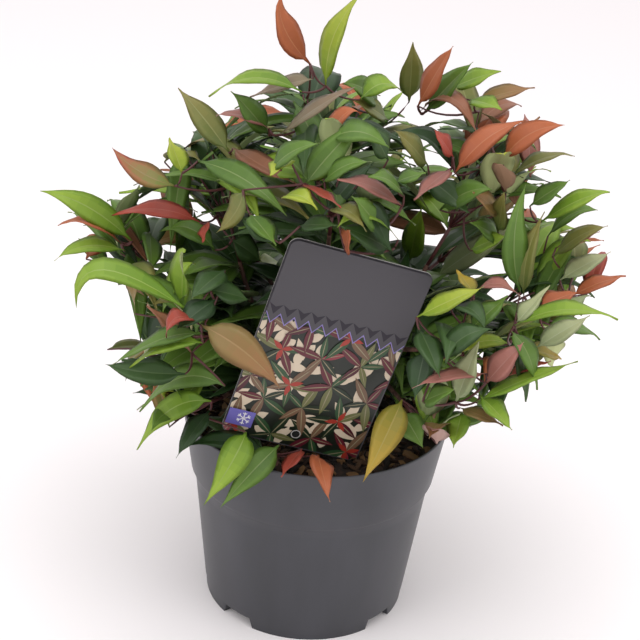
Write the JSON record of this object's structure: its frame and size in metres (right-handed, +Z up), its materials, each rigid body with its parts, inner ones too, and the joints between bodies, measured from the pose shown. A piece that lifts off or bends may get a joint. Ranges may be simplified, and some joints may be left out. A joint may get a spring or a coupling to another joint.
{
  "type": "potted leucothoe shrub",
  "caption": "Evergreen leucothoe shrub with arching bronze-tinted shoots of pointed leaves, in a round dark plastic nursery pot with a blank plant label standing in the soil.",
  "frame": {"origin": "on the pot's axis, on the flat underside of its bottom, at floor level", "axes": "+Z up along the pot's axis; -Y to the front, the side with the label; +X to the viewer's right"},
  "size_m": [0.3249, 0.2725, 0.3663],
  "materials": {
    "pot": "moulded dark grey, faintly scuffed",
    "soil": "damp peat mixed with bark chips",
    "bark": "brown bark below, dark red on young shoots",
    "foliage": "satin leaves, green with bronze, orange-red and pale tints",
    "label": "printed plastic card, semi-gloss"
  },
  "bodies": {
    "root": {"bough_low_back_left": "bark", "bough_low_back_right": "bark", "bough_low_front_left": "bark", "bough_low_front_right": "bark", "bough_low_left": "bark", "bough_low_right": "bark", "bough_mid_back": "bark", "bough_mid_back_left": "bark", "bough_mid_back_right": "bark", "bough_mid_front_left": "bark", "bough_mid_front_right": "bark", "bough_mid_left": "bark", "bough_mid_right": "bark", "bough_top_back": "bark", "bough_top_front": "bark", "bough_top_left": "bark", "bough_top_middle": "bark", "bough_top_right": "bark", "foliage_front_tuft": "foliage", "foliage_low_back_left": "foliage", "foliage_low_back_right": "foliage", "foliage_low_front_left": "foliage", "foliage_low_front_right": "foliage", "foliage_low_left": "foliage", "foliage_low_right": "foliage", "foliage_mid_back": "foliage", "foliage_mid_back_left": "foliage", "foliage_mid_back_right": "foliage", "foliage_mid_front_left": "foliage", "foliage_mid_front_right": "foliage", "foliage_mid_left": "foliage", "foliage_mid_right": "foliage", "foliage_top_back": "foliage", "foliage_top_front": "foliage", "foliage_top_left": "foliage", "foliage_top_middle": "foliage", "foliage_top_right": "foliage", "plant_label": "label", "pot": "pot", "soil": "soil", "stem_back_left": "bark", "stem_back_right": "bark", "stem_front": "bark", "stem_left": "bark", "stem_middle": "bark", "stem_right": "bark"}
  },
  "joints": []
}
